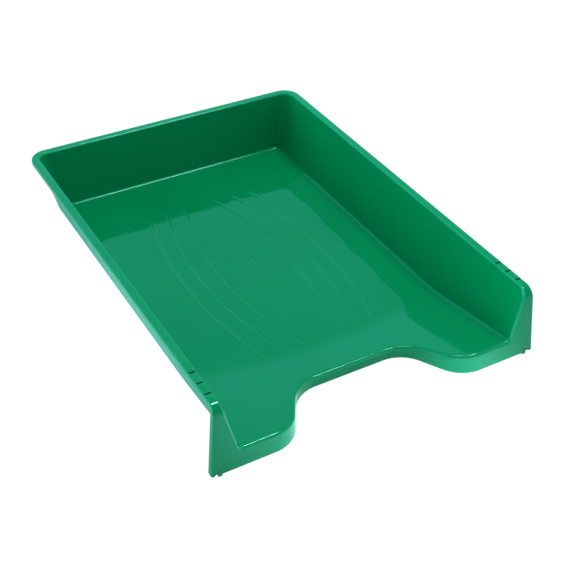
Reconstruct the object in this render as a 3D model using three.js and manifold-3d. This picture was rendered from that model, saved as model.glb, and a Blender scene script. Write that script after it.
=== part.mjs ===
// A4 letter tray: one injection moulding, built here as its named regions.
// Millimetres. X runs across, +Y from the front to the back, Z up. Regions that meet in the
// moulding keep a small clearance, so that every region is a closed solid of its own.

import * as THREE from 'three';
import { mergeVertices } from 'three/addons/utils/BufferGeometryUtils.js';
import Module from 'manifold-3d';

const wasm = await Module();
wasm.setup();

// Driving dimensions
const RIM_ACROSS = 255;        // over the outer edges of the side rims
const RIM_BACK = 348;          // from the top of the front panel to the back rim's outer edge
const HEIGHT = 58;             // peg tips to the top of the rim
const SHELL = 2;               // wall thickness of the moulding
const CLEARANCE = 0.3;         // between neighbouring regions
const PANEL_FOOT = 1.5;        // height of the front panel's lower edge above the peg tips
const PANEL_LEAN = 4;          // the panel's foot stands this far in front of its top
const PANEL_FLARE = 5.3;       // the panel's foot stands this far outside the rim, each side
const FLOOR_TOP = 5;           // height of the flat floor's upper face
const RIM = 6.5;               // width of the flat rim
const SKIRT = 4;               // depth of the rim's down-turned edge, from the rim's top
const SKIRT_THICK = 1.8;
const EDGE_ROUND = 1;          // rounding along the rim's upper edges
const SIDE_INSET = 20.1;       // floor edge to rim outer edge, at the sides
const BACK_INSET = 11.4;       // the same at the back
const CORNER = 15;             // outer radius of the back rim corners
const BEND = 9;                // radius where the rim turns down into the front panel
const CREASE = 77;             // distance of the floor's crease behind the panel's top
const RAMP_TOP = 16.7;         // height of the ramp's front edge
const CUT_HALF = 29;           // half length of the straight edge deep in the finger cut-out
const CUT_DEPTH = 42.3;        // depth of the cut-out behind the front edge
const CUT_INNER_R = 28;        // radius of the cut-out's deep corners
const CUT_OUTER_R = 26;        // radius of the tongues' corners
const CUT_TURN = Math.PI / 3;  // how far each of those corners turns
const SLOT_FIRST = 14;         // distance of the first stacking slot behind the panel's top
const SLOT_PITCH = 11.3;
const SLOT_COUNT = 3;
const SLOT_WIDE = 1.7;
const SLOT_LONG = 4.7;
const PEG_INNER = 124.2;       // inner side of each locating peg, from the middle
const PEG_WIDE = 3;
const NOTCH_WIDE = 3;          // clearance notch outboard of the peg
const NOTCH_HIGH = 1.2;
const FOOT_X = 85;             // the rear feet: low ribs under the floor
const FOOT_START = 300;
const FOOT_LONG = 34;
const FOOT_WIDE = 3;
const CURVE_STEPS = 12;
const ROUND_STEPS = 3;         // steps along the small roundings of the rim corners
const MERGE_WITHIN = 1e-4;     // points closer than this are one point of a solid
const GREEN = 0x0b8a5c;
const GLOSS = 0.12;            // surface roughness of the polished plastic

const halfRim = RIM_ACROSS / 2;
const floorUnder = FLOOR_TOP - SHELL;
const far = 200;               // reaches past the part from its middle, across and up
const sideLean = (SIDE_INSET - RIM) / (HEIGHT - FLOOR_TOP);
const backLean = (BACK_INSET - RIM) / (HEIGHT - FLOOR_TOP);
const panelLean = PANEL_LEAN / (HEIGHT - PANEL_FOOT);
const panelFlare = PANEL_FLARE / (HEIGHT - PANEL_FOOT);
const frontMost = PANEL_LEAN + panelLean * PANEL_FOOT;
const rampSlope = (RAMP_TOP - FLOOR_TOP) / (CREASE + PANEL_LEAN - panelLean * RAMP_TOP);
const lipEnd = CUT_HALF + (CUT_INNER_R + CUT_OUTER_R) / 2;

// Inner faces of the walls at a height, and the ramp's height at a distance from the front
const sideInner = (z) => halfRim - RIM - sideLean * (HEIGHT - z);
const backInner = (z) => RIM_BACK - RIM - backLean * (HEIGHT - z);
const rampHeight = (y) => FLOOR_TOP + rampSlope * (CREASE - y);

// The inner radius of the back corners and the place of their centre across, at a height.
// The centres sit above each other in y, so the back wall's ends slope with the corner.
const cornerLow = backInner(FLOOR_TOP) - (RIM_BACK - CORNER);
const cornerHigh = CORNER - RIM;
const cornerInner = (z) => cornerLow
  + (cornerHigh - cornerLow) * (z - FLOOR_TOP) / (HEIGHT - FLOOR_TOP);
const cornerX = (z) => sideInner(z) - cornerInner(z);

// ---- Shapes and solids ----

function polygon(points) {
  return new THREE.Shape(points.map(([u, v]) => new THREE.Vector2(u, v)));
}

function rectangle(u0, v0, u1, v1) {
  return polygon([[u0, v0], [u1, v0], [u1, v1], [u0, v1]]);
}

function solid(geometry) {
  geometry.deleteAttribute('normal');
  geometry.deleteAttribute('uv');
  const merged = mergeVertices(geometry, MERGE_WITHIN);
  return new wasm.Manifold(new wasm.Mesh({
    numProp: 3,
    vertProperties: new Float32Array(merged.attributes.position.array),
    triVerts: new Uint32Array(merged.index.array),
  }));
}

function extrude(shape, length) {
  return new THREE.ExtrudeGeometry(shape, {
    depth: length, steps: 1, bevelEnabled: false, curveSegments: CURVE_STEPS,
  });
}

// A plan outline (x, y), a front outline (x, z) or a side outline (y, z), each made solid
function upright(shape, z0, z1) {
  return extrude(shape, z1 - z0).translate(0, 0, z0);
}

function lengthwise(shape, y0, y1) {
  const turn = new THREE.Matrix4().makeRotationX(Math.PI / 2);
  return extrude(shape, y1 - y0).applyMatrix4(turn).translate(0, y1, 0);
}

function crosswise(shape, x0, x1) {
  const turn = new THREE.Matrix4().set(0, 0, 1, x0, 1, 0, 0, 0, 0, 1, 0, 0, 0, 0, 0, 1);
  return extrude(shape, x1 - x0).applyMatrix4(turn);
}

// Leans a geometry back as it rises: y grows by slope for each unit above the height z0
function leanBack(geometry, slope, z0) {
  return geometry.applyMatrix4(
    new THREE.Matrix4().set(1, 0, 0, 0, 0, 1, slope, -slope * z0, 0, 0, 1, 0, 0, 0, 0, 1));
}

function box(x0, y0, z0, x1, y1, z1) {
  return upright(rectangle(x0, y0, x1, y1), z0, z1);
}

// ---- Outlines that several regions share ----

// Side view of the tray, offset inwards: leaning front, bend, and top
function sideOutline(inset, bottom) {
  const lean = Math.atan(panelLean);
  const tangent = BEND * Math.tan((Math.PI / 2 - lean) / 2);
  const shift = inset / Math.cos(lean);
  const frontAt = (z) => -PANEL_LEAN + panelLean * (z - PANEL_FOOT) + shift;
  const shape = new THREE.Shape();
  shape.moveTo(RIM_BACK, bottom);
  shape.lineTo(frontAt(bottom), bottom);
  shape.absarc(tangent, HEIGHT - BEND, BEND - inset, Math.PI - lean, Math.PI / 2, true);
  shape.lineTo(RIM_BACK, HEIGHT - inset);
  return shape;
}

// Front view of the space between the walls
function cavityOutline(clearance) {
  const low = sideInner(-HEIGHT) - clearance;
  const high = sideInner(2 * HEIGHT) - clearance;
  return polygon([[-low, -HEIGHT], [low, -HEIGHT], [high, 2 * HEIGHT], [-high, 2 * HEIGHT]]);
}

// Plan view of the front edge with its finger cut-out, offset into the material
function traceFront(path, inset) {
  const front = -PANEL_LEAN;
  const outerR = CUT_OUTER_R - inset;
  const innerR = CUT_INNER_R + inset;
  const innerY = front + CUT_DEPTH - CUT_INNER_R;
  const outerY = front + CUT_OUTER_R;
  const rise = CUT_DEPTH - (CUT_INNER_R + CUT_OUTER_R) * (1 - Math.cos(CUT_TURN));
  const outerX = CUT_HALF + (CUT_INNER_R + CUT_OUTER_R) * Math.sin(CUT_TURN)
    + rise / Math.tan(CUT_TURN);
  const down = -Math.PI / 2;
  const up = Math.PI / 2;
  path.absarc(-outerX, outerY, outerR, down, down + CUT_TURN, false);
  path.absarc(-CUT_HALF, innerY, innerR, up + CUT_TURN, up, true);
  path.absarc(CUT_HALF, innerY, innerR, up, up - CUT_TURN, true);
  path.absarc(outerX, outerY, outerR, down - CUT_TURN, down, false);
}

function frontRegion(inset) {
  const front = -PANEL_LEAN + inset;
  const shape = new THREE.Shape();
  shape.moveTo(far, CREASE);
  shape.lineTo(-far, CREASE);
  shape.lineTo(-far, front);
  traceFront(shape, inset);
  shape.lineTo(far, front);
  return shape;
}

// Section of the rim: flat top, rounded edges and a down-turned outer skirt
function rimSection(outer) {
  const inner = outer - RIM;
  const r = EDGE_ROUND;
  const shape = new THREE.Shape();
  shape.moveTo(outer - SKIRT_THICK, HEIGHT - SHELL);
  shape.lineTo(inner, HEIGHT - SHELL);
  shape.absarc(inner + r, HEIGHT - r, r, Math.PI, Math.PI / 2, true);
  shape.absarc(outer - r, HEIGHT - r, r, Math.PI / 2, 0, true);
  shape.lineTo(outer, HEIGHT - SKIRT);
  shape.lineTo(outer - SKIRT_THICK, HEIGHT - SKIRT);
  return shape;
}

// ---- Regions ----

function floorPanel() {
  const edge = sideInner(floorUnder) - CLEARANCE;
  const back = backInner(floorUnder) - CLEARANCE;
  const shape = new THREE.Shape();
  shape.moveTo(-edge, CREASE + CLEARANCE);
  shape.lineTo(edge, CREASE + CLEARANCE);
  shape.absarc(edge - cornerLow, back - cornerLow, cornerLow, 0, Math.PI / 2, false);
  shape.absarc(cornerLow - edge, back - cornerLow, cornerLow, Math.PI / 2, Math.PI, false);
  return solid(upright(shape, floorUnder, FLOOR_TOP));
}

function rearFoot(side) {
  const x = side * FOOT_X - FOOT_WIDE / 2;
  return solid(box(x, FOOT_START, 0, x + FOOT_WIDE, FOOT_START + FOOT_LONG,
    floorUnder - CLEARANCE));
}

function rampPlate() {
  const y0 = -2 * PANEL_LEAN;
  const plate = solid(crosswise(polygon([
    [y0, rampHeight(y0) - SHELL], [CREASE, FLOOR_TOP - SHELL],
    [CREASE, FLOOR_TOP], [y0, rampHeight(y0)],
  ]), -far, far));
  const plan = solid(leanBack(upright(frontRegion(0), 0, HEIGHT), panelLean, PANEL_FOOT));
  const cavity = solid(lengthwise(cavityOutline(CLEARANCE), -far, far));
  return plate.intersect(plan).intersect(cavity);
}

// The skirt below the ramp's front edge, between two distances from the middle
function lipSkirt(x0, x1) {
  const prism = (inset) => solid(
    leanBack(upright(frontRegion(inset), PANEL_FOOT, HEIGHT), panelLean, PANEL_FOOT));
  const gap = SHELL + CLEARANCE;
  const under = solid(crosswise(polygon([
    [-far, 0], [CREASE - SHELL, 0],
    [CREASE - SHELL, rampHeight(CREASE - SHELL) - gap], [-far, rampHeight(-far) - gap],
  ]), x0, x1));
  const cavity = solid(lengthwise(cavityOutline(CLEARANCE), -far, far));
  return prism(0).subtract(prism(SHELL)).intersect(under).intersect(cavity);
}

function sideWall(side) {
  const plate = SHELL / Math.cos(Math.atan(sideLean));
  const low = sideInner(floorUnder);
  const high = sideInner(HEIGHT);
  const section = polygon([
    [side * low, floorUnder], [side * (low + plate), floorUnder],
    [side * (high + plate), HEIGHT], [side * high, HEIGHT],
  ]);
  const back = RIM_BACK - CORNER - CLEARANCE;
  const wall = solid(lengthwise(section, -far, back));
  const behindPanel = solid(crosswise(sideOutline(SHELL + CLEARANCE, 0), -far, far));
  return wall.intersect(behindPanel);
}

function backWall() {
  const top = HEIGHT - SHELL - CLEARANCE;
  const low = cornerX(floorUnder) - CLEARANCE;
  const high = cornerX(top) - CLEARANCE;
  const face = polygon([[-low, floorUnder], [low, floorUnder], [high, top], [-high, top]]);
  const y = backInner(floorUnder);
  return solid(leanBack(lengthwise(face, y, y + SHELL), backLean, floorUnder));
}

// A quarter ring, one unit high and between the radii 1 and 2, whose two faces are carried to the
// corner's inner and outer radius at each height
function cornerWall(side) {
  const ring = new THREE.Shape();
  ring.absarc(0, 0, 2, 0, Math.PI / 2, false);
  ring.absarc(0, 0, 1, Math.PI / 2, 0, true);
  const geometry = upright(ring, 0, 1);
  const rise = HEIGHT - SHELL - CLEARANCE - floorUnder;
  const position = geometry.attributes.position;
  for (let i = 0; i < position.count; i += 1) {
    const z = floorUnder + position.getZ(i) * rise;
    const length = Math.hypot(position.getX(i), position.getY(i));
    const radius = cornerInner(z) + SHELL * Math.round(length - 1);
    const x = cornerX(z) + radius * position.getX(i) / length;
    const y = RIM_BACK - CORNER + radius * position.getY(i) / length;
    position.setXYZ(i, x, y, z);
  }
  return mirrorTo(side, geometry);
}

// Builds a solid from a right-hand geometry, or from its mirror image on the left
function mirrorTo(side, geometry) {
  if (side > 0) return solid(geometry);
  geometry.scale(-1, 1, 1);
  const position = geometry.attributes.position;
  const flipped = new THREE.BufferGeometry();
  const points = [];
  for (let i = 0; i < position.count; i += 3) {
    for (const j of [i, i + 2, i + 1]) {
      points.push(position.getX(j), position.getY(j), position.getZ(j));
    }
  }
  flipped.setAttribute('position', new THREE.Float32BufferAttribute(points, 3));
  return solid(flipped);
}

function sideRim(side) {
  const end = RIM_BACK - CORNER - CLEARANCE;
  let cut = mirrorTo(side, lengthwise(rimSection(halfRim), BEND + CLEARANCE, end));
  const middle = side * (halfRim - RIM / 2);
  for (let i = 0; i < SLOT_COUNT; i += 1) {
    const y = SLOT_FIRST + i * SLOT_PITCH;
    cut = cut.subtract(solid(box(middle - SLOT_LONG / 2, y - SLOT_WIDE / 2, HEIGHT - 2 * SHELL,
      middle + SLOT_LONG / 2, y + SLOT_WIDE / 2, HEIGHT + SHELL)));
  }
  return cut;
}

function backRim() {
  const reach = halfRim - CORNER - CLEARANCE;
  return solid(crosswise(rimSection(RIM_BACK), -reach, reach));
}

function rimCorner(side) {
  const section = rimSection(CORNER).getPoints(ROUND_STEPS).reverse();
  section.push(section[0].clone());
  const ring = new THREE.LatheGeometry(section, 4 * CURVE_STEPS);
  ring.applyMatrix4(new THREE.Matrix4().makeRotationX(Math.PI / 2));
  ring.translate(side * (halfRim - CORNER), RIM_BACK - CORNER, 0);
  const quarter = mirrorTo(side, box(halfRim - CORNER, RIM_BACK - CORNER, 0, far, 2 * RIM_BACK, far));
  return solid(ring).intersect(quarter);
}

// A front corner: the panel beside the cavity, the bend up into the rim, the return along its
// outer edge, the locating peg below it, and the notch that clears the rim of the tray beneath
function frontWing(side) {
  const outerAt = (z) => halfRim + panelFlare * (HEIGHT - z);
  const notch = PEG_INNER + PEG_WIDE;
  const ground = PANEL_FOOT;
  const face = polygon([
    [sideInner(ground), ground], [PEG_INNER, ground], [PEG_INNER, 0], [notch, 0],
    [notch, ground + NOTCH_HIGH], [notch + NOTCH_WIDE, ground + NOTCH_HIGH],
    [notch + NOTCH_WIDE, ground], [outerAt(ground), ground],
    [outerAt(HEIGHT), HEIGHT], [sideInner(HEIGHT), HEIGHT],
  ].map(([x, z]) => [side * x, z]));
  const edge = polygon([
    [outerAt(ground) - SKIRT_THICK, ground], [outerAt(ground), ground],
    [outerAt(HEIGHT), HEIGHT], [outerAt(HEIGHT) - SKIRT_THICK, HEIGHT],
  ].map(([x, z]) => [side * x, z]));
  const whole = solid(crosswise(sideOutline(0, 0), -far, far));
  const band = (depth) => whole.subtract(
    solid(crosswise(sideOutline(depth, -1), -far, far)));
  const panel = solid(lengthwise(face, -far, BEND)).intersect(band(SHELL));
  const returnEdge = solid(lengthwise(edge, -far, BEND)).intersect(band(SKIRT));
  return panel.add(returnEdge);
}

// ---- Assembly ----

function region(name, body) {
  const mesh = body.getMesh();
  const geometry = new THREE.BufferGeometry();
  geometry.setAttribute('position', new THREE.BufferAttribute(mesh.vertProperties, 3));
  geometry.setIndex(new THREE.BufferAttribute(mesh.triVerts, 1));
  geometry.computeVertexNormals();
  const plastic = new THREE.MeshStandardMaterial({
    color: GREEN, roughness: GLOSS, metalness: 0,
  });
  const part = new THREE.Mesh(geometry, plastic);
  part.name = name;
  return part;
}

const tray = new THREE.Group();
tray.name = 'letter_tray';
tray.add(
  region('floor_panel', floorPanel()),
  region('front_ramp', rampPlate()),
  region('cutout_lip', lipSkirt(-lipEnd, lipEnd)),
  region('back_wall', backWall()),
  region('back_rim', backRim()),
);
for (const [label, side] of [['left', -1], ['right', 1]]) {
  const near = side * (lipEnd + CLEARANCE);
  const end = side * far;
  tray.add(
    region(`${label}_lip`, lipSkirt(Math.min(near, end), Math.max(near, end))),
    region(`${label}_wall`, sideWall(side)),
    region(`${label}_back_corner`, cornerWall(side)),
    region(`${label}_rim`, sideRim(side)),
    region(`${label}_rim_corner`, rimCorner(side)),
    region(`${label}_front_wing`, frontWing(side)),
    region(`${label}_rear_foot`, rearFoot(side)),
  );
}
tray.position.set(0, (frontMost - RIM_BACK) / 2, 0);

export default tray;
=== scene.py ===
"""A4 letter tray in glossy green plastic: one injection moulding, as one closed skin.

The skin is worked out in millimetres. Across is x, y runs back from the top of the front panel
and z is up. Every size that the frame holds is read from it.
"""

import math

import bmesh
import bpy
import numpy as np
from mathutils import Matrix, Vector


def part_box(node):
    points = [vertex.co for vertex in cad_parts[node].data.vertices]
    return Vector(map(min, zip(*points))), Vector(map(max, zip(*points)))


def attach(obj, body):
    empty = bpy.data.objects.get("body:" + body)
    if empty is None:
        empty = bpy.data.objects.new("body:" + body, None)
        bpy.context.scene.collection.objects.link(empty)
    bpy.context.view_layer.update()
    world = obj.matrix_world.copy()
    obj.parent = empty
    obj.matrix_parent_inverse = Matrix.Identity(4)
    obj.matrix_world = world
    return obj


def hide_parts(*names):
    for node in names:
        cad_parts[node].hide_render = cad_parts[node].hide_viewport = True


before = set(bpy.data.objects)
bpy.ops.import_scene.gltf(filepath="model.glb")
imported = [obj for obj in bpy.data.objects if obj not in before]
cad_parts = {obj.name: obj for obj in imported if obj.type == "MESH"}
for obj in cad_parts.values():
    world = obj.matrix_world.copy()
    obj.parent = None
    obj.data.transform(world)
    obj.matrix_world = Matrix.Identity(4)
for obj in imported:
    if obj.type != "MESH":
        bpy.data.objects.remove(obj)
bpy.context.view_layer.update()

MM = 0.001
UP = np.array([0.0, 0.0, 1.0])

# ---- Sizes, in millimetres ----


def corner_of(node, which):
    """The lowest (0) or highest (1) corner of a CAD node, in millimetres."""
    return np.array(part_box(node)[which]) / MM


DEPTH = 348.0          # top of the front panel to the back rim's outer edge
SHELL = 2.0            # thickness of the plastic
CLEARANCE = 0.3        # what the CAD regions keep between them
RIM = 6.5              # width of the rim, from its outer edge to the wall
SKIRT = 4.0            # height of the rim's turned-down skirt
SKIRT_THICK = 1.8
CORNER = 15.0          # outer radius of the back rim corners
BEND = 9.0             # the rim turns down into the front panel
PANEL_LEAN = 4.0       # the panel's foot stands this far in front of its top

HEIGHT = corner_of("back_rim", 1)[2]
HALF = corner_of("right_rim", 1)[0]
FLOOR = corner_of("floor_panel", 1)[2]
UNDER = corner_of("floor_panel", 0)[2]
FOOT = 1.5             # the panel's lower edge, above the peg tips
Y_SHIFT = corner_of("back_rim", 1)[1] - DEPTH
FLARE = corner_of("right_front_wing", 1)[0] - HALF
CREASE = 72.0          # the floor's crease, on the middle line
CREASE_BOW = 14.0      # how much further back it lies at the walls
RAMP_TOP = 17.2        # the ramp's height at the lip
RAMP_LEAD = 3.0        # the ramp ends this far in front of the top of the front panel

SIDE_LEAN = (HALF - RIM - corner_of("floor_panel", 1)[0] - CLEARANCE) / (HEIGHT - UNDER)
BACK_LEAN = (DEPTH - RIM - corner_of("floor_panel", 1)[1] + Y_SHIFT - CLEARANCE) / (HEIGHT - UNDER)
PANEL_SLOPE = PANEL_LEAN / (HEIGHT - FOOT)
FLARE_SLOPE = FLARE / (HEIGHT - FOOT)

CUT_HALF = 29.0        # the finger cut-out: half its straight deep edge
CUT_DEPTH = 42.3
CUT_INNER_R = 28.0
CUT_OUTER_R = 26.0
CUT_TURN = math.radians(60)

FLOOR_FILLET_SIDE = 3.2
FLOOR_FILLET_BACK = 2.2
RIM_INNER_ROUND = 1.7
RIM_OUTER_ROUND = 1.1
WING_ROUND = 2.1
LIP_ROUND = 2.5
UNDER_FILLET = 0.9     # in the concave corners of the underside
EDGE_BREAK = 0.35      # on every edge that is left sharp, such as the thin lower ones
BROKEN_TURN = math.radians(50)     # the least turn of such an edge
SHADING_TURN = math.radians(38)    # edges that turn more than this are shaded as sharp ones
WELD = 0.002           # points closer than this are one
SLIVER = 0.001         # faces narrower than this are removed

PEG = (124.2, 127.2)   # the locating peg, from its inner to its outer side
NOTCH_WIDE = 3.0
NOTCH_HIGH = 1.2
CORNER_ROUND = 2.4     # the front panel's outer bottom corners

GATE_Y = 187.0         # the mark that the mould's gate leaves on the floor
GATE_R = 1.9
GATE_HIGH = 0.35
REAR_FOOT_ROUND = 0.6  # on the edges of the ribs under the back

SLOT_FIRST = 14.0
SLOT_PITCH = 11.3
SLOT_COUNT = 3
SLOT_WIDE = 1.7
SLOT_LONG = 4.7

# Counts of steps
ROUND = 6              # along a rounding
FILLET = 8             # along the fillet between wall and floor
FAN = 4                # between the bend and its centre
WALL = 14              # down the wall below the bend
STRIP = 2              # beyond the fillet, before the floor's own grid
TURN = 12              # round a corner or a bend
LIP_ROWS = 5
RIM_STEPS = 2
FRONT_ROWS = 26        # from the front edge to the crease line
BACK_ROWS = 84         # from the crease line to the back
COLUMNS = 72           # from the middle line to the side strip
SETTLE = 8             # rounds of finding where a surface meets the front panel

CREASE_LINE = 62.0     # where these two sets of rows meet
SPREAD = 1.15          # columns reach their own places this much sooner than the crease line
LOOK_BACK = 2.0        # how far behind an edge the wall's direction is taken
TILT_STEP = 0.5        # how far from a point of the lip the ramp's tilt is taken

FAN_END = FAN
WALL_END = FAN_END + WALL
FILLET_END = WALL_END + FILLET
STRIP_END = FILLET_END + STRIP
LIP_START = STRIP_END - FAN_END    # the front edges run down the wing up to this one, then along the lip

# ---- The floor's surface ----

GROOVES = ((13.0, 17.0), (30.0, 16.0), (46.0, 14.0))   # place of each end, and its bow
GROOVE_MIDDLE = 182.0
GROOVE_REACH = 104.0
GROOVE_DEPTH = 0.26
GROOVE_HALF = 0.75
GROOVE_FADE = 0.06     # the share of its reach over which a groove runs out
CREASE_SOFT = 7.0
DISH = 1.1
WARP = 0.05            # the floor's faint unevenness
WARP_LONG = (61.0, 83.0)    # how long its waves are, across the tray and along it
WARP_SHIFT = 1.3
WARP_SLANT = (0.9, 1.7)     # how fast the slanting waves run next to those, across and along
SLOPE_STEP = 3.0       # the floor's slope at a wall is taken over this distance
STRIP_WIDE = 3.5       # from the side wall's foot to the floor's own grid
BASE_X = HALF - RIM - SIDE_LEAN * (HEIGHT - FLOOR)
BASE_Y = DEPTH - RIM - BACK_LEAN * (HEIGHT - FLOOR)


def smooth(t):
    t = min(max(t, 0.0), 1.0)
    return t * t * (3 - 2 * t)


def crease_at(x):
    return CREASE + CREASE_BOW * (x / BASE_X) ** 2


def floor_height(x, y):
    """The floor's upper face: a shallow dish behind a ramp, softly joined."""
    ahead = crease_at(x) - y
    slope = (RAMP_TOP - FLOOR) / (crease_at(x) + RAMP_LEAD)
    ramp = slope * (ahead + math.hypot(ahead, CREASE_SOFT)) / 2
    u = min(abs(x) / BASE_X, 1.0)
    v = min(max((y - CREASE) / (BASE_Y - CREASE), 0.0), 1.0)
    across = 1 - u ** 4
    along = math.sin(math.pi * v)
    dish = DISH * across * along ** 2
    wave_x, wave_y = (2 * math.pi / span for span in WARP_LONG)
    bumps = math.sin(wave_x * x + WARP_SHIFT) * math.sin(wave_y * y)
    bumps += math.sin(WARP_SLANT[1] * wave_y * y + WARP_SLANT[0] * wave_x * x)
    warp = WARP * bumps * across * along
    return FLOOR + ramp - dish + warp


def groove_bow(y):
    v = (y - GROOVE_MIDDLE) / GROOVE_REACH
    return 1 - v * v


def groove_cut(x, y):
    """How deep the shallow curved grooves go below the floor."""
    v = abs(y - GROOVE_MIDDLE) / GROOVE_REACH
    fade = smooth((1.0 - v) / GROOVE_FADE)
    if fade == 0.0:
        return 0.0
    bow = groove_bow(y)
    depth = 0.0
    for end, sag in GROOVES:
        off = abs(abs(x) - end - sag * bow)
        if off < GROOVE_HALF:
            depth = GROOVE_DEPTH * 0.5 * (1 + math.cos(math.pi * off / GROOVE_HALF))
    return depth * fade


# ---- Small geometry helpers ----


def unit(v):
    return v / np.linalg.norm(v)


def fillet(edge, a, b, radius, steps):
    """Points on a rounding of an edge, from the surface that runs off along a to the one along b."""
    a = unit(a)
    b = unit(b)
    half = math.acos(max(-1.0, min(1.0, float(a @ b)))) / 2
    reach = radius / math.tan(half)
    centre = edge + unit(a + b) * radius / math.sin(half)
    start = edge + a * reach - centre
    end = edge + b * reach - centre
    sweep = math.pi - 2 * half
    points = []
    for i in range(steps + 1):
        t = i / steps
        points.append(centre + (math.sin((1 - t) * sweep) * start + math.sin(t * sweep) * end)
                      / math.sin(sweep))
    return points


def lerp(p, q, t):
    return p + (q - p) * t


class Skin:
    """Collects vertices and faces of the right half."""

    def __init__(self):
        self.points = []
        self.faces = []

    def add(self, point):
        self.points.append(point)
        return len(self.points) - 1

    def grid(self, rows):
        """Faces between rows of points. Points that fall together are welded later."""
        index = [[self.add(p) for p in row] for row in rows]
        for upper, lower in zip(index, index[1:]):
            for i in range(len(upper) - 1):
                self.faces.append((upper[i], upper[i + 1], lower[i + 1], lower[i]))

    def polygon(self, points):
        self.faces.append(tuple(self.add(p) for p in points))


# ---- The side view: rim, bend and front panel ----

LEAN_ANGLE = math.atan(PANEL_SLOPE)
BEND_Y = BEND * math.tan((math.pi / 2 - LEAN_ANGLE) / 2)
BEND_Z = HEIGHT - BEND
BEND_CENTRE = np.array([0.0, BEND_Y, BEND_Z])
BACK_START = DEPTH - CORNER
PANEL_NORMAL = unit(np.array([0.0, -1.0, PANEL_SLOPE]))
WALL_NORMAL = unit(np.array([-1.0, 0.0, SIDE_LEAN]))


def bend_turn(m):
    """How far the bend has turned at a step of it."""
    return (math.pi / 2 - LEAN_ANGLE) * m / TURN


def out_of_bend(m):
    turn = bend_turn(m)
    return np.array([0.0, -math.sin(turn), math.cos(turn)])


def panel_y(z, inset):
    return -PANEL_LEAN + PANEL_SLOPE * (z - FOOT) + inset / math.cos(LEAN_ANGLE)


def outer_x(z):
    return HALF + FLARE_SLOPE * (HEIGHT - z)


# ---- The plan of the front edge: on each side two arcs, joined by a straight slant ----

CUT_ARCS = CUT_INNER_R + CUT_OUTER_R
SLANT_DEEP = CUT_DEPTH - CUT_ARCS * (1 - math.cos(CUT_TURN))
SLANT = SLANT_DEEP / math.sin(CUT_TURN)
TONGUE_X = CUT_HALF + CUT_ARCS * math.sin(CUT_TURN) + SLANT_DEEP / math.tan(CUT_TURN)
TONGUE_LENGTH = CUT_HALF + CUT_ARCS * CUT_TURN + SLANT    # along the edge, from the middle


def front_edge(length):
    """A point of the front edge in plan and the direction out of it, by the length from the middle."""
    front = panel_y(RAMP_TOP, 0)
    deep = front + CUT_DEPTH
    if length <= CUT_HALF:
        return np.array([length, deep]), np.array([0.0, -1.0])
    length -= CUT_HALF
    if length <= CUT_INNER_R * CUT_TURN:
        t = length / CUT_INNER_R
        place = np.array([CUT_HALF + CUT_INNER_R * math.sin(t), deep - CUT_INNER_R * (1 - math.cos(t))])
        return place, np.array([-math.sin(t), -math.cos(t)])
    length -= CUT_INNER_R * CUT_TURN
    x = CUT_HALF + CUT_INNER_R * math.sin(CUT_TURN)
    y = deep - CUT_INNER_R * (1 - math.cos(CUT_TURN))
    away = np.array([-math.sin(CUT_TURN), -math.cos(CUT_TURN)])
    if length <= SLANT:
        return np.array([x + length * math.cos(CUT_TURN), y - length * math.sin(CUT_TURN)]), away
    length -= SLANT
    x += SLANT * math.cos(CUT_TURN) + CUT_OUTER_R * math.sin(CUT_TURN)
    if length <= CUT_OUTER_R * CUT_TURN:
        t = CUT_TURN - length / CUT_OUTER_R
        place = np.array([x - CUT_OUTER_R * math.sin(t), front + CUT_OUTER_R * (1 - math.cos(t))])
        return place, np.array([-math.sin(t), -math.cos(t)])
    length -= CUT_OUTER_R * CUT_TURN
    return np.array([x + length, front]), np.array([0.0, -1.0])


def lip_point(length, z, inset):
    """A point of the lip's face, which leans out as it goes down."""
    place, away = front_edge(length)
    off = PANEL_SLOPE * (RAMP_TOP - z) - inset / math.cos(LEAN_ANGLE)
    flat = place + away * off
    return np.array([flat[0], flat[1], z])


# ---- The sections of walls and floor, at the upper sheet or inset from it ----


def base_inset(y):
    """Rim edge to the end of the strip along the side wall, where the floor's own grid starts."""
    height = floor_height(BASE_X, y)
    return RIM + SIDE_LEAN * (HEIGHT - height) + STRIP_WIDE


def wall_profile(lean, base, slope, end, floor_radius, inset):
    """The section from the rim's top to the floor, as (distance in from the rim's edge, z).

    It returns the rounding at the rim and the points below it. base is the floor's height at the
    wall, slope its slope away from the wall and end the distance in at which the strip ends.
    """
    shift = inset * math.sqrt(1 + lean * lean)

    def line(z):
        return RIM + lean * (HEIGHT - z) - shift

    down = unit(np.array([lean, -1.0]))
    top = np.array([line(HEIGHT - inset), HEIGHT - inset])
    rim_round = RIM_INNER_ROUND if inset == 0 else UNDER_FILLET
    rounding = fillet(top, down, np.array([-1.0, 0.0]), rim_round, ROUND)
    start = rounding[0]
    floor_z = base - inset
    near = line(floor_z) + shift
    depth = floor_z + slope * (line(floor_z) - near)
    foot = np.array([line(depth), depth])
    fillet_points = fillet(foot, -down, np.array([1.0, slope]), floor_radius + inset, FILLET)
    centre = np.array([line(BEND_Z), BEND_Z])
    points = [lerp(start, centre, k / FAN) for k in range(FAN)]
    points += [lerp(centre, fillet_points[0], k / WALL) for k in range(WALL)]
    points += fillet_points
    last = fillet_points[-1]
    points += [np.array([lerp(last[0], end, k / STRIP), np.nan]) for k in range(1, STRIP + 1)]
    return rounding, points


def side_profile(y, inset):
    base = floor_height(BASE_X, y)
    slope = (floor_height(BASE_X - SLOPE_STEP, y) - base) / SLOPE_STEP
    return wall_profile(SIDE_LEAN, base, slope, base_inset(y), FLOOR_FILLET_SIDE, inset)


def back_profile(x, inset):
    base = floor_height(x, BASE_Y)
    slope = (floor_height(x, BASE_Y - SLOPE_STEP) - base) / SLOPE_STEP
    return wall_profile(BACK_LEAN, base, slope, CORNER, FLOOR_FILLET_BACK, inset)


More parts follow.
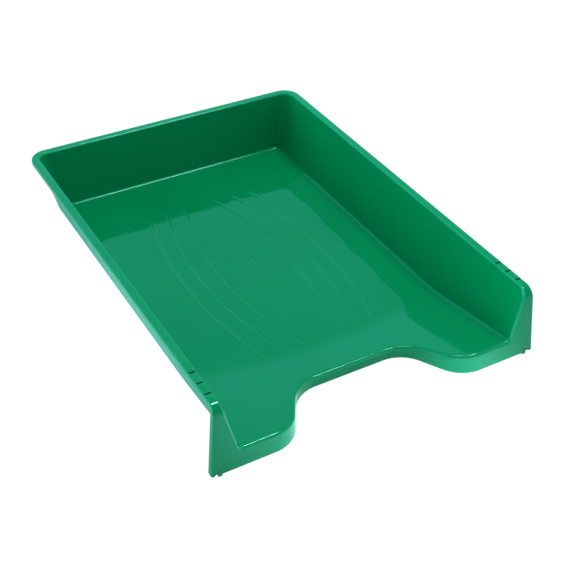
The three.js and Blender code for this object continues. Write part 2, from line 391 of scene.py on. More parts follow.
def on_side(n, z, y, inset):
    x = HALF - n
    return np.array([x, y, floor_height(x, y) - inset if math.isnan(z) else z])


def on_back(n, z, x, inset):
    y = DEPTH - n
    return np.array([x, y, floor_height(x, y) - inset if math.isnan(z) else z])


def columns(count):
    """How far the floor's columns are from the middle line. They are gathered at the grooves."""
    offsets = (-1.0, -0.5, 0.0, 0.5, 1.0)
    marks = [0.0]
    for end, _ in GROOVES:
        marks += [end + o * GROOVE_HALF for o in offsets]
    marks.append(HALF - base_inset(BACK_START))
    spans = [(marks[i + 1] - marks[i], i) for i in range(len(marks) - 1)]
    wide = [(s, i) for s, i in spans if s > 2 * GROOVE_HALF]
    spare = count - len(spans)
    total = sum(s for s, _ in wide)
    extra = {i: int(spare * s / total) for s, i in wide}
    extra[wide[-1][1]] += spare - sum(extra.values())
    places = []
    for i in range(len(marks) - 1):
        pieces = 1 + extra.get(i, 0)
        places += [lerp(marks[i], marks[i + 1], k / pieces) for k in range(pieces)]
    places.append(marks[-1])
    return np.array(places)


COLUMN_PLACES = columns(COLUMNS)
COLUMN_END = COLUMN_PLACES[-1]


def column_x(i, y):
    """Where a column of the floor's grid runs. It bows with the grooves."""
    place = COLUMN_PLACES[i]
    bow = max(groove_bow(y), 0.0)
    ends = [0.0] + [end for end, _ in GROOVES] + [COLUMN_END]
    sags = [0.0] + [sag for _, sag in GROOVES] + [0.0]
    sag = float(np.interp(place, ends, sags))
    edge = HALF - base_inset(y)
    return (place + sag * bow) * edge / COLUMN_END if i < COLUMNS else edge


# ---- One sheet of the skin ----


def edge_round(edge, along, radius, normal_a, normal_b):
    """The rounding where surface a meets surface b, from their normals and the edge's run."""
    a = np.cross(along, normal_a)
    a = -a if a @ normal_b > 0 else a
    b = np.cross(along, normal_b)
    b = -b if b @ normal_a > 0 else b
    return fillet(edge, a, b, radius, ROUND)


def outer_spots():
    """Points on the sharp outer edge of bend and wing, each with the direction out of its face."""
    spots = [(BEND_CENTRE + out_of_bend(m) * BEND, out_of_bend(m)) for m in range(TURN + 1)]
    high = BEND_Z + BEND * math.sin(LEAN_ANGLE)
    for k in range(1, LIP_START + 1):
        z = lerp(high, FOOT, k / LIP_START)
        spots.append((np.array([0.0, panel_y(z, 0), z]), PANEL_NORMAL))
    for spot, _ in spots:
        spot[0] = outer_x(spot[2])
    return spots


class Sheet:
    """The right half of a sheet. The upper one has inset 0, the one below it the shell's thickness."""

    def __init__(self, skin, inset):
        self.skin = skin
        self.inset = inset
        upper = inset == 0
        self.rim_round = RIM_INNER_ROUND if upper else UNDER_FILLET
        self.lip_round = LIP_ROUND if upper else UNDER_FILLET
        self.wing_round = WING_ROUND if upper else UNDER_FILLET
        self.edge_in = RIM_OUTER_ROUND if upper else SKIRT_THICK
        self.bends = [self.bend_section(m) for m in range(TURN + 1)]
        wing = [self.bend_edge(TURN)]
        wing += [self.on_panel(k) for k in range(FAN_END + 1, STRIP_END + 1)]
        self.lengths = np.linspace(TONGUE_LENGTH + (wing[-1][0] - TONGUE_X), 0.0, COLUMNS + 1)
        lip = [self.lip_edge(length) for length in self.lengths[1:]]
        self.rounds = self.front_sections(wing + lip)
        self.starts = [section[0] for section in self.rounds]
        self.centre = np.array([self.wall_x(BEND_Z), BEND_Y, BEND_Z])
        first_y = self.starts[0][1]
        self.fan_share = (BEND_Y - first_y) / (CREASE_LINE - first_y)

    # Points and edges

    def wall_x(self, z):
        return HALF - RIM - SIDE_LEAN * (HEIGHT - z) + self.inset * math.sqrt(1 + SIDE_LEAN ** 2)

    def level_point(self, k, y):
        """Point k of the side wall's section, at a place along the tray."""
        n, z = side_profile(y, self.inset)[1][k]
        return on_side(n, z, y, self.inset)

    def bend_edge(self, m):
        """The sharp edge between wall and bend, at a step of the bend."""
        spot = BEND_CENTRE + out_of_bend(m) * (BEND - self.inset)
        spot[0] = self.wall_x(spot[2])
        return spot

    def on_panel(self, k):
        """Where the line through points k of the side wall's sections meets the front panel."""
        y = 0.0
        for _ in range(SETTLE):
            point = self.level_point(k, y)
            y = panel_y(point[2], self.inset)
        point[1] = y
        return point

    def lip_edge(self, length):
        """The sharp edge between ramp and lip, at a distance along it from the middle."""
        z = RAMP_TOP - self.inset
        for _ in range(SETTLE):
            point = lip_point(length, z, self.inset)
            z = floor_height(point[0], point[1]) - self.inset
        return point

    # The roundings between the cavity and the bend, the wing and the lip

    def bend_section(self, m):
        turn = bend_turn(m)
        along = np.array([-SIDE_LEAN * math.sin(turn), -math.cos(turn), -math.sin(turn)])
        radius = lerp(self.rim_round, self.wing_round, smooth(m / TURN))
        return edge_round(self.bend_edge(m), along, radius, WALL_NORMAL, out_of_bend(m))

    def wing_section(self, k, edge, along):
        radius = lerp(self.wing_round, self.lip_round, smooth((k - WALL_END) / (STRIP_END - WALL_END)))
        back = self.level_point(k, edge[1] + LOOK_BACK) - edge
        out = np.cross(along, PANEL_NORMAL)
        inwards = out[0] < 0 if k < FILLET_END else out[2] > 0
        return fillet(edge, back, -out if inwards else out, radius, ROUND)

    def lip_section(self, length, edge, along):
        away = front_edge(length)[1]
        x, y = edge[:2]
        dx = (floor_height(x + TILT_STEP, y) - floor_height(x - TILT_STEP, y)) / (2 * TILT_STEP)
        dy = (floor_height(x, y + TILT_STEP) - floor_height(x, y - TILT_STEP)) / (2 * TILT_STEP)
        up = unit(np.array([-dx, -dy, 1.0]))
        face = unit(np.array([away[0], away[1], PANEL_SLOPE]))
        return edge_round(edge, along, self.lip_round, up, face)

    def front_sections(self, edges):
        """The rounding at each of the edges from the bend's end down the wing and along the lip."""
        past_middle = edges[-2] * np.array([-1.0, 1.0, 1.0])
        sections = [self.bends[TURN]]
        for c, (before, edge, after) in enumerate(zip(edges, edges[1:], edges[2:] + [past_middle]), 1):
            along = unit(after - edge) + unit(edge - before)
            if c <= LIP_START:
                sections.append(self.wing_section(FAN_END + c, edge, along))
            else:
                sections.append(self.lip_section(self.lengths[c - LIP_START], edge, along))
        for point in sections[-1]:
            point[0] = 0.0
        return sections

    # The cavity's surface: rows from the front edge back to the corner

    def row_share(self, j):
        """How far row j has come from the front edge to the crease line."""
        if j < FAN:
            return self.fan_share * j / FAN
        return lerp(self.fan_share, 1.0, (j - FAN) / (FRONT_ROWS - FAN))

    def cavity_row(self, j):
        """A row from the highest level there down the wall and in to the middle line."""
        if j == 0:
            return list(self.starts)
        row = []
        t = self.row_share(j)
        if j >= FAN:
            back = (t - self.fan_share) / (1 - self.fan_share)
            y = lerp(BEND_Y, CREASE_LINE, back)
            row += [self.level_point(k, y) for k in range(FAN_END)]
        for k in range(FAN_END, STRIP_END + 1):
            start = self.starts[k - FAN_END]
            if k == FAN_END and j <= FAN:
                row.append(lerp(start, self.centre, j / FAN))
            else:
                row.append(self.level_point(k, lerp(start[1], CREASE_LINE, t)))
        for i in range(COLUMNS - 1, -1, -1):
            start = self.starts[LIP_START + COLUMNS - i]
            y = lerp(start[1], CREASE_LINE, t)
            x = lerp(start[0], column_x(i, y), smooth(t * SPREAD))
            row.append(np.array([x, y, floor_height(x, y) - self.inset]))
        return row

    def floor_row(self, y):
        row = [self.level_point(k, y) for k in range(STRIP_END + 1)]
        for i in range(COLUMNS - 1, -1, -1):
            x = column_x(i, y)
            cut = groove_cut(x, y) if self.inset == 0 else 0.0
            row.append(np.array([x, y, floor_height(x, y) - cut - self.inset]))
        return row

    def add_cavity(self):
        """Adds walls and floor in front of the back corner. Returns where their rows start."""
        front_rows = [self.cavity_row(j) for j in range(FRONT_ROWS + 1)]
        self.skin.grid(front_rows[:FAN] + [front_rows[FAN][FAN_END:]])
        self.skin.grid(front_rows[FAN:])
        back_ys = np.linspace(CREASE_LINE, BACK_START, BACK_ROWS + 1)
        self.skin.grid([front_rows[-1]] + [self.floor_row(y) for y in back_ys[1:]])
        # The fan in the wall's top front corner
        self.skin.grid([[lerp(section[0], self.centre, q / FAN) for q in range(FAN + 1)]
                        for section in self.bends])
        return [row[0][1] for row in front_rows[FAN:]] + list(back_ys[1:])

    # The back corner, the back wall and the rim

    def rim_line(self, rounding):
        """The rim's flat from the outer edge in, and then the rounding down to the wall."""
        rim_edge = np.array([self.edge_in, HEIGHT - self.inset])
        flat = [lerp(rim_edge, rounding[-1], t / RIM_STEPS) for t in range(RIM_STEPS)]
        return flat + rounding[::-1]

    def corner_row(self, side_section, back_section, m):
        """A section at a step round the corner, between those of the side and of the back."""
        theta = math.pi / 2 * m / TURN
        share = smooth(m / TURN)
        row = []
        for side, back in zip(side_section, back_section):
            radius = CORNER - back[0]
            x = HALF - side[0] - radius + radius * math.cos(theta)
            y = BACK_START + radius * math.sin(theta)
            on_floor = math.isnan(side[1])
            z = floor_height(x, y) - self.inset if on_floor else lerp(side[1], back[1], share)
            row.append(np.array([x, y, z]))
        return row

    def back_row(self, side_section, back_section, share):
        """A section of the back, at a share of the way from the middle to the corner."""
        row = []
        for side, (n, z) in zip(side_section, back_section):
            reach = HALF - side[0] - (CORNER - n)
            row.append(on_back(n, z, share * reach, self.inset))
        return row

    def add_back(self):
        """Adds the back corner and the back wall. Returns the rows of the rim above them."""
        side_round, side_wall = side_profile(BACK_START, self.inset)
        corner_x = HALF - side_wall[-1][0]
        back_round, back_wall = back_profile(corner_x, self.inset)
        side_rim = self.rim_line(side_round)
        back_rim = self.rim_line(back_round)
        walls = [self.corner_row(side_wall, back_wall, m) for m in range(TURN + 1)]
        rims = [self.corner_row(side_rim, back_rim, m) for m in range(TURN + 1)]
        for i in range(COLUMNS - 1, -1, -1):
            share = COLUMN_PLACES[i] / COLUMN_END
            back_round, back_wall = back_profile(share * corner_x, self.inset)
            walls.append(self.back_row(side_wall, back_wall, share))
            rims.append(self.back_row(side_rim, self.rim_line(back_round), share))
        self.skin.grid(walls)
        return rims

    def add_rim(self, ys, back_rims):
        """Adds the rim from the bend round to the middle of the back. Returns its outer border."""
        rows = []
        for y in ys:
            line = self.rim_line(side_profile(y, self.inset)[0])
            rows.append([on_side(n, z, y, self.inset) for n, z in line])
        rows += back_rims[1:]
        self.skin.grid(rows)
        return [row[0] for row in rows]

    # The front

    def add_wing(self):
        """Adds bend and wing, out to their outer edge. Returns their rows."""
        rows = []
        for (spot, out), rounding in zip(outer_spots(), self.bends + self.rounds[1:LIP_START + 1]):
            border = spot - out * self.inset - np.array([self.edge_in, 0.0, 0.0])
            flat = [lerp(border, rounding[-1], t / RIM_STEPS) for t in range(RIM_STEPS)]
            rows.append(flat + rounding[::-1])
        lowest = rows[-1]
        lowest[0][1:] = panel_y(FOOT, self.inset), FOOT
        for t in range(1, RIM_STEPS):
            lowest[t] = lerp(lowest[0], lowest[RIM_STEPS], t / RIM_STEPS)
        self.skin.grid(rows)
        return rows

    def add_lip(self):
        """Adds the lip's rounding and its face, down to its lower edge. Returns the face's rows."""
        lip_rounds = self.rounds[LIP_START:]
        rows = [[section[s] for section in lip_rounds] for s in range(ROUND + 1)]
        self.skin.grid(rows)
        tops = rows[-1]
        face = [tops]
        for row in range(1, LIP_ROWS + 1):
            levels = [lerp(top[2], FOOT, row / LIP_ROWS) for top in tops]
            line = [np.array([tops[0][0], panel_y(levels[0], self.inset), levels[0]])]
            line += [lip_point(self.lengths[c], levels[c], self.inset) for c in range(1, COLUMNS + 1)]
            face.append(line)
        self.skin.grid(face)
        return face

    def panel_foot(self):
        """The panel's lower edge outside the lip, with the notch and the peg."""
        outer = PEG[1] + NOTCH_WIDE
        outline = ((outer, FOOT), (outer, FOOT + NOTCH_HIGH), (PEG[1], FOOT + NOTCH_HIGH),
                   (PEG[1], 0.0), (PEG[0], 0.0), (PEG[0], FOOT))
        return [np.array([x, panel_y(z, self.inset), z]) for x, z in outline]

    def build(self):
        """Adds the sheet to the skin. Returns its borders along the rim, the wing and the bottom."""
        ys = self.add_cavity()
        rim_border = self.add_rim(ys, self.add_back())
        wing = self.add_wing()
        lip = self.add_lip()
        foot = self.panel_foot()
        inner_end = wing[-1][RIM_STEPS::-1]
        lip_end = [line[0] for line in lip]
        self.skin.polygon(inner_end + foot + lip_end[:0:-1])
        return rim_border, [row[0] for row in wing], foot + lip[-1]


def tray_half():
    """The skin of the right half: both sheets, and the skirts and edges that join them."""
    skin = Skin()
    rim_top, wing_top, bottom_top = Sheet(skin, 0.0).build()
    rim_under, wing_under, bottom_under = Sheet(skin, SHELL).build()

    def skirt(spot, inward, away):
        """From the top of an outer edge over its rounding, down the skirt and up its inner face."""
        rounding = fillet(spot, inward, away, RIM_OUTER_ROUND, ROUND)
        low = spot + away * SKIRT
        return rounding + [low, low + unit(inward) * SKIRT_THICK]

    rim_rows = []
    for top, under in zip(rim_top, rim_under):
        inward = np.array([under[0] - top[0], under[1] - top[1], 0.0])
        spot = top - unit(inward) * RIM_OUTER_ROUND
        line = skirt(spot, inward, -UP)
        line[0] = top
        rim_rows.append(line + [under])
    skin.grid(rim_rows)
    wing_rows = []
    for (spot, out), top, under in zip(outer_spots(), wing_top, wing_under):
        line = skirt(spot, np.array([-1.0, 0.0, 0.0]), -out)
        line[0] = top
        wing_rows.append(line + [under])
    end = wing_rows[-1]
    for point in end[1:-1]:
        point[2] = FOOT
    skin.grid(wing_rows)
    skin.grid([bottom_top, bottom_under])
    skin.polygon(end + [bottom_under[0], bottom_top[0]])
    return skin


# ---- What is joined to the moulding or cut from it ----


def block(name, low, high):
    """A box to join to the moulding or to cut from it, as an object that is removed afterwards."""
    mesh = bmesh.new()
    bmesh.ops.create_cube(mesh, size=1.0)
    for v in mesh.verts:
        for axis in range(3):
            v.co[axis] = lerp(low[axis], high[axis], v.co[axis] + 0.5) * MM
        v.co.y += Y_SHIFT * MM
    data = bpy.data.meshes.new(name)
    mesh.to_mesh(data)
    mesh.free()
    cutter = bpy.data.objects.new(name, data)
    bpy.context.scene.collection.objects.link(cutter)
    return cutter


def apply_modifiers(piece):
    """Gives the object the mesh that its modifiers make, and removes them."""
    ready = piece.evaluated_get(bpy.context.evaluated_depsgraph_get())
    data = bpy.data.meshes.new_from_object(ready)
    piece.modifiers.clear()
    old = piece.data
    piece.data = data
    bpy.data.meshes.remove(old)


def combine(piece, operation, blocks):
    """Joins the blocks to the piece or cuts them from it, and removes them."""
    for other in blocks:
        step = piece.modifiers.new(other.name, "BOOLEAN")
        step.operation = operation
        step.solver = "EXACT"
        step.object = other
    apply_modifiers(piece)
    for other in blocks:
        bpy.data.objects.remove(other)


def rear_feet():
    """The low ribs under the back of the floor, carried a little way up into it."""
    feet = []
    for side in ("left", "right"):
        low = corner_of(f"{side}_rear_foot", 0)
        high = corner_of(f"{side}_rear_foot", 1)
        low[1] -= Y_SHIFT
        high[1] -= Y_SHIFT
        high[2] = FLOOR - SHELL / 2
        foot = block(f"{side}_rear_foot_rib", low, high)
        rounding = foot.modifiers.new("round", "BEVEL")
        rounding.width = REAR_FOOT_ROUND * MM
        rounding.segments = 3
        apply_modifiers(foot)
        feet.append(foot)
    return feet


def rim_slots():
    slots = []
    for side in (-1, 1):
        for i in range(SLOT_COUNT):
            x = side * (HALF - RIM / 2)
            y = SLOT_FIRST + i * SLOT_PITCH
            slots.append(block(f"slot_{i}", (x - SLOT_LONG / 2, y - SLOT_WIDE / 2, HEIGHT - 3 * SHELL),
                               (x + SLOT_LONG / 2, y + SLOT_WIDE / 2, HEIGHT + SHELL)))
    return slots


def solid_object(name, mesh):
    """An object from a bmesh in millimetres in the script's own frame, which it frees."""
    for v in mesh.verts:
        v.co = Vector((v.co.x, v.co.y + Y_SHIFT, v.co.z)) * MM
    bmesh.ops.recalc_face_normals(mesh, faces=mesh.faces)
    data = bpy.data.meshes.new(name)
    mesh.to_mesh(data)
    mesh.free()
    piece = bpy.data.objects.new(name, data)
    bpy.context.scene.collection.objects.link(piece)
    return piece


def corner_cutters():
    """What is cut off the front panel's outer bottom corners to round them."""
    cutters = []
    edge = outer_x(FOOT)
    for side in (-1, 1):
        outline = []
        for i in range(ROUND + 1):
            turn = math.pi / 2 * i / ROUND
            x = edge - CORNER_ROUND * (1 - math.cos(turn))
            outline.append((x, FOOT + CORNER_ROUND * (1 - math.sin(turn))))
        outline += [(edge - CORNER_ROUND, FOOT - SHELL), (edge + SHELL, FOOT - SHELL),
                    (edge + SHELL, FOOT + CORNER_ROUND)]
        mesh = bmesh.new()
        ends = [[mesh.verts.new((side * x, y, z)) for x, z in outline]
                for y in (-PANEL_LEAN - SHELL, SKIRT + SHELL)]
        mesh.faces.new(ends[0])
        mesh.faces.new(ends[1][::-1])
        for i in range(len(outline)):
            k = (i + 1) % len(outline)
            mesh.faces.new((ends[0][i], ends[1][i], ends[1][k], ends[0][k]))
        cutters.append(solid_object(f"corner_{side}", mesh))
    return cutters


def gate_mark():
    """A low round blister on the middle of the floor."""
    mesh = bmesh.new()
    bmesh.ops.create_uvsphere(mesh, u_segments=32, v_segments=16, radius=1.0)
    ground = floor_height(0.0, GATE_Y)
    for v in mesh.verts:
        v.co = Vector((v.co.x * GATE_R, v.co.y * GATE_R + GATE_Y, v.co.z * GATE_HIGH + ground))
    return solid_object("gate_mark", mesh)


def build_tray():
    """The whole moulding: the half and its mirror image as one closed skin, with feet, slots and mark."""
    half = tray_half()
    mesh = bmesh.new()
    for mirror in (1.0, -1.0):
        verts = [mesh.verts.new(((p[0] * mirror) * MM, (p[1] + Y_SHIFT) * MM, p[2] * MM))
                 for p in half.points]
        for face in half.faces:
            order = face if mirror > 0 else face[::-1]
            mesh.faces.new([verts[i] for i in order])
    bmesh.ops.remove_doubles(mesh, verts=mesh.verts, dist=WELD * MM)
    bmesh.ops.dissolve_degenerate(mesh, dist=SLIVER * MM, edges=mesh.edges)
    bmesh.ops.recalc_face_normals(mesh, faces=mesh.faces)
    sharp = [e for e in mesh.edges if e.is_manifold and e.calc_face_angle() > BROKEN_TURN]
    bmesh.ops.bevel(mesh, geom=sharp, offset=EDGE_BREAK * MM, offset_type="OFFSET", segments=2,
                    profile=0.5, affect="EDGES", clamp_overlap=True)
    data = bpy.data.meshes.new("tray_moulding")
    mesh.to_mesh(data)
    mesh.free()
    piece = bpy.data.objects.new("tray_moulding", data)
    bpy.context.scene.collection.objects.link(piece)
    combine(piece, "UNION", rear_feet() + [gate_mark()])
    combine(piece, "DIFFERENCE", rim_slots() + corner_cutters())
    return piece


# ---- Wear and painted sheen ----

BEND_SPAN = 0.2        # the shortest distance over which a bend is measured
WEAR_AND_SHEEN_BEND = (0.15, 0.6)     # radians per millimetre at which wear and painted sheen start and are full
RIM_WEAR_AND_SHEEN = 0.3         # painted sheen and wear on the rims' flat tops, and the depth that they reach down to
RIM_TOP_DEPTH = 1.0


def mark_edges(data):
    """Stores the mask of rubbed edges and painted sheen: more where the skin bends tightly outwards, and
    a set share on the rims' flat tops.
    """
    mesh = bmesh.new()
    mesh.from_mesh(data)
    bend = np.zeros(len(mesh.verts))
    for edge in mesh.edges:
        if not edge.is_manifold:
            continue
        near, far = (face.calc_center_median() for face in edge.link_faces)
        curve = edge.calc_face_angle_signed() / max((near - far).length / MM, BEND_SPAN)
        for v in edge.verts:
            bend[v.index] = max(bend[v.index], curve)
    mesh.free()
    low, high = WEAR_AND_SHEEN_BEND
    rubbed_and_sheen = [smooth((b - low) / (high - low)) for b in bend]
    for v in data.vertices:
        if v.co.z > (HEIGHT - RIM_TOP_DEPTH) * MM:
            rubbed_and_sheen[v.index] = max(rubbed_and_sheen[v.index], RIM_WEAR_AND_SHEEN)
    # The mask is partly real edge wear and partly a painted highlight on bends and rim tops.
    wear_and_sheen = data.attributes.new("edge_wear_and_sheen", "FLOAT", "POINT")
    wear_and_sheen.data.foreach_set("value", rubbed_and_sheen)


# ---- The plastic ----

PLASTIC_IOR = 1.5
GLOSS_TINT = (0.4, 1.0, 0.95, 1.0)
DEEP_GREEN = (0.0, 0.224, 0.079, 1.0)
LIGHT_GREEN = (0.0, 0.246, 0.088, 1.0)
# A lighter green on rubbed edges and rim tops, partly a painted sheen and highlight
RUBBED_SHEEN_GREEN = (0.03, 0.37, 0.18, 1.0)
CLOUDS = 9.0           # noise scales, per metre
SMUDGES = 28.0
WAVES = 14.0
TONE_SPAN = (0.3, 0.7)         # the noise values at which a change starts and is full
PATCH_SPAN = (0.35, 0.65)
GLOSS_SPAN = (0.3, 0.75)
GLOSS_RANGE = (0.035, 0.075)
RUBBED_ROUGHNESS = 0.06
WEAR_AND_SHEEN_SHARE = 0.6       # of the rubbed and painted-sheen tone where the mask is full
WEAR_AND_SHEEN_LEAST = 0.6       # what is left of that in the weakest patches
WAVE_STRENGTH = 0.35
WAVE_HEIGHT = 0.6 * MM


def link(tree, start, start_name, end, end_name):
    tree.links.new(start.outputs[start_name], end.inputs[end_name])


def maths(tree, operation, first, second):
    """A maths node on two inputs, each a (node, output) pair or a number."""
    node = tree.nodes.new("ShaderNodeMath")
    node.operation = operation
    for i, source in enumerate((first, second)):
        if isinstance(source, tuple):
            link(tree, *source, node, i)
        else:
            node.inputs[i].default_value = source
    return node


def noise(tree, place, scale, detail, roughness=0.5):
    node = tree.nodes.new("ShaderNodeTexNoise")
    node.inputs["Scale"].default_value = scale
    node.inputs["Detail"].default_value = detail
    node.inputs["Roughness"].default_value = roughness
    link(tree, place, "Object", node, "Vector")
    return node


def spread(tree, source, output, low, high, to_low, to_high):
    """Maps a value's range onto another one."""
    node = tree.nodes.new("ShaderNodeMapRange")
    for name, value in (("From Min", low), ("From Max", high), ("To Min", to_low), ("To Max", to_high)):
        node.inputs[name].default_value = value
    link(tree, source, output, node, "Value")
    return node


def green_plastic():
    """Glossy moulded plastic: faint tone changes, rubbed edges and rim tops lightened partly by a painted
    sheen, uneven gloss and moulding waves.
    """
    material = bpy.data.materials.new("moulded_plastic")
    material.use_nodes = True
    tree = material.node_tree
    shader = tree.nodes["Principled BSDF"]
    shader.inputs["IOR"].default_value = PLASTIC_IOR
    shader.inputs["Specular Tint"].default_value = GLOSS_TINT
    place = tree.nodes.new("ShaderNodeTexCoord")

    clouds = noise(tree, place, CLOUDS, 3.0)
    tone = tree.nodes.new("ShaderNodeValToRGB")
    deep, light = tone.color_ramp.elements
    deep.position, light.position = TONE_SPAN
    deep.color = DEEP_GREEN
    light.color = LIGHT_GREEN
    link(tree, clouds, "Fac", tone, "Fac")

    smudges = noise(tree, place, SMUDGES, 5.0, 0.6)
    wear_and_sheen = tree.nodes.new("ShaderNodeAttribute")
    wear_and_sheen.attribute_name = "edge_wear_and_sheen"
    patches = spread(tree, smudges, "Fac", *PATCH_SPAN, WEAR_AND_SHEEN_LEAST * WEAR_AND_SHEEN_SHARE, WEAR_AND_SHEEN_SHARE)
    rubbed_and_sheen = maths(tree, "MULTIPLY", (wear_and_sheen, "Fac"), (patches, "Result"))
    # Rubbed edges and rim tops are lightened here, partly as a painted sheen.
    colour = tree.nodes.new("ShaderNodeMixRGB")
    colour.inputs["Color2"].default_value = RUBBED_SHEEN_GREEN
    link(tree, rubbed_and_sheen, "Value", colour, "Fac")
    link(tree, tone, "Color", colour, "Color1")
    link(tree, colour, "Color", shader, "Base Color")

    gloss = spread(tree, smudges, "Fac", *GLOSS_SPAN, *GLOSS_RANGE)
    rough = maths(tree, "MULTIPLY", (rubbed_and_sheen, "Value"), RUBBED_ROUGHNESS)
    dulled = maths(tree, "ADD", (rough, "Value"), (gloss, "Result"))
    link(tree, dulled, "Value", shader, "Roughness")

    waves = noise(tree, place, WAVES, 2.0)
    bump = tree.nodes.new("ShaderNodeBump")
    bump.inputs["Strength"].default_value = WAVE_STRENGTH
    bump.inputs["Distance"].default_value = WAVE_HEIGHT
    link(tree, waves, "Fac", bump, "Height")
    link(tree, bump, "Normal", shader, "Normal")
    return material


# ---- The studio, in metres ----

FLOOR_HALF = 6.0
FLOOR_WHITE = (0.72, 0.72, 0.72, 1.0)
FLOOR_GLOW = 0.2
# The floor glows more in front of the finger cut-out and at the tray's left: each spot's place,
# reach and strength
GLOW_SPOTS = (((-0.05, -0.21, 0.0), 0.09, 1.9),
              ((0.07, -0.205, 0.0), 0.08, 2.6),
              ((-0.19, 0.0, 0.0), 0.22, 0.5))
FLOOR_ROUGHNESS = 0.9
FLOOR_WASH = 0.9       # how far the camera sees the floor washed out to plain white
PLAIN_GLOW = 1.12      # how bright that white is
COOL_WHITE = (0.22, 0.98, 1.0, 1.0)
GLOW_WHITE = (0.36, 0.98, 0.95, 1.0)
KEY_WHITE = (0.9, 1.0, 0.95)
WHITE = (1.0, 1.0, 1.0)
# Soft lobes of light round the tray: where each is, how narrow and how strong
LOBES = (((0.25, 0.8, 0.5), 5.0, 0.56),
         ((0.3, 0.9, 0.1), 6.0, 0.9),
         ((-1.0, 0.15, 0.09), 22.0, 12.0),
         ((-0.45, 0.62, 0.62), 30.0, 1.3),
         ((0.37, -0.8, 0.45), 3.0, 0.3),
         ((0.85, -0.4, 0.35), 3.0, 0.6))
# Name, place, size, power in watts and colour
SOFTBOXES = (("overhead", (0.0, 0.0, 1.9), (0.5, 0.5), 7.0, WHITE),
             ("key", (0.64, -0.3, 1.9), (0.4, 0.5), 19.0, KEY_WHITE))


def white_floor():
    """A white that glows a little, as a light table does, most in a few spots.

    The tray is lit by this glow and reflects it. The camera sees the floor as nearly plain white.
    """
    white = bpy.data.materials.new("studio_white")
    white.use_nodes = True
    tree = white.node_tree
    shader = tree.nodes["Principled BSDF"]
    shader.inputs["Base Color"].default_value = FLOOR_WHITE
    shader.inputs["Roughness"].default_value = FLOOR_ROUGHNESS
    shader.inputs["Specular IOR Level"].default_value = 0.0
    shader.inputs["Emission Color"].default_value = GLOW_WHITE
    place = tree.nodes.new("ShaderNodeTexCoord")
    glow = None
    for centre, reach, strength in GLOW_SPOTS:
        off = tree.nodes.new("ShaderNodeVectorMath")
        off.operation = "DISTANCE"
        off.inputs[1].default_value = centre
        link(tree, place, "Object", off, 0)
        spot = spread(tree, off, "Value", 0.0, reach, strength, 0.0)
        spot.interpolation_type = "SMOOTHSTEP"
        before = (glow, "Value") if glow else FLOOR_GLOW
        glow = maths(tree, "ADD", (spot, "Result"), before)
    link(tree, glow, "Value", shader, "Emission Strength")

    plain = tree.nodes.new("ShaderNodeEmission")
    plain.inputs["Strength"].default_value = PLAIN_GLOW
    ray = tree.nodes.new("ShaderNodeLightPath")
    wash = maths(tree, "MULTIPLY", (ray, "Is Camera Ray"), FLOOR_WASH)
    seen = tree.nodes.new("ShaderNodeMixShader")
    link(tree, wash, "Value", seen, 0)
    link(tree, shader, "BSDF", seen, 1)
    link(tree, plain, "Emission", seen, 2)
    link(tree, seen, "Shader", tree.nodes["Material Output"], "Surface")
    return white


def studio_floor():
    data = bpy.data.meshes.new("floor")
    grid = bmesh.new()
    bmesh.ops.create_grid(grid, x_segments=1, y_segments=1, size=FLOOR_HALF)
    grid.to_mesh(data)
    grid.free()
    data.materials.append(white_floor())
    floor = bpy.data.objects.new("floor", data)
    bpy.context.scene.collection.objects.link(floor)
    return floor


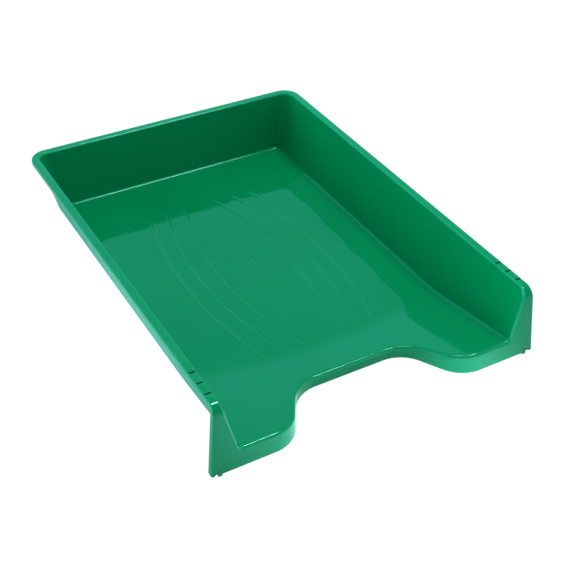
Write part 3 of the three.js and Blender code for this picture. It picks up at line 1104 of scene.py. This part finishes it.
def studio_world():
    """Surroundings that light the tray with a sum of soft lobes. The camera sees them plain white."""
    world = bpy.data.worlds.new("studio")
    world.use_nodes = True
    tree = world.node_tree
    place = tree.nodes.new("ShaderNodeTexCoord")
    total = None
    for centre, sharpness, strength in LOBES:
        facing = tree.nodes.new("ShaderNodeVectorMath")
        facing.operation = "DOT_PRODUCT"
        facing.inputs[1].default_value = Vector(centre).normalized()
        link(tree, place, "Generated", facing, 0)
        front = maths(tree, "MAXIMUM", (facing, "Value"), 0.0)
        lobe = maths(tree, "POWER", (front, "Value"), sharpness)
        light = maths(tree, "MULTIPLY", (lobe, "Value"), strength)
        total = maths(tree, "ADD", (light, "Value"), (total, "Value") if total else 0.0)
    lit = tree.nodes["Background"]
    lit.inputs["Color"].default_value = COOL_WHITE
    link(tree, total, "Value", lit, "Strength")
    plain = tree.nodes.new("ShaderNodeBackground")
    plain.inputs["Color"].default_value = (*WHITE, 1.0)
    ray = tree.nodes.new("ShaderNodeLightPath")
    seen = tree.nodes.new("ShaderNodeMixShader")
    link(tree, ray, "Is Camera Ray", seen, 0)
    link(tree, lit, "Background", seen, 1)
    link(tree, plain, "Background", seen, 2)
    link(tree, seen, "Shader", tree.nodes["World Output"], "Surface")
    bpy.context.scene.world = world


def softbox(name, at, size, power, colour):
    """A soft rectangular light that faces the tray and that the camera doesn't see."""
    lamp = bpy.data.lights.new(name, "AREA")
    lamp.shape = "RECTANGLE"
    lamp.size, lamp.size_y = size
    lamp.energy = power
    lamp.color = colour
    holder = bpy.data.objects.new(name, lamp)
    bpy.context.scene.collection.objects.link(holder)
    holder.location = at
    holder.rotation_euler = (-Vector(at)).to_track_quat("-Z", "Y").to_euler()
    holder.visible_camera = False


# ---- The camera, in millimetres in the script's own frame ----

CAMERA_AT = (-336.08, -443.16, 530.89)
AZIMUTH = math.radians(-30.18)
ELEVATION = math.radians(37.51)
ROLL = math.radians(1.0)
LENS = 69.19
SENSOR = 36.0


def camera():
    data = bpy.data.cameras.new("camera")
    data.sensor_width = SENSOR
    data.lens = LENS
    eye = bpy.data.objects.new("camera", data)
    bpy.context.scene.collection.objects.link(eye)
    x, y, z = CAMERA_AT
    eye.location = Vector((x, y + Y_SHIFT, z)) * MM
    back = Vector((math.sin(AZIMUTH) * math.cos(ELEVATION), -math.cos(AZIMUTH) * math.cos(ELEVATION),
                   math.sin(ELEVATION)))
    right = Vector((0, 0, 1)).cross(back).normalized()
    above = back.cross(right)
    level = Matrix((right, above, back)).transposed()
    eye.rotation_euler = (level @ Matrix.Rotation(ROLL, 3, "Z")).to_euler()
    return eye


tray = build_tray()
mark_edges(tray.data)
tray.data.shade_smooth()
tray.data.set_sharp_from_angle(angle=SHADING_TURN)
weighting = tray.modifiers.new("even_normals", "WEIGHTED_NORMAL")
weighting.keep_sharp = True
tray.data.materials.append(green_plastic())
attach(tray, "root")
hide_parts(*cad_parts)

studio_floor()
studio_world()
for box in SOFTBOXES:
    softbox(*box)
bpy.context.scene.camera = camera()
bpy.context.scene.view_settings.view_transform = "Standard"
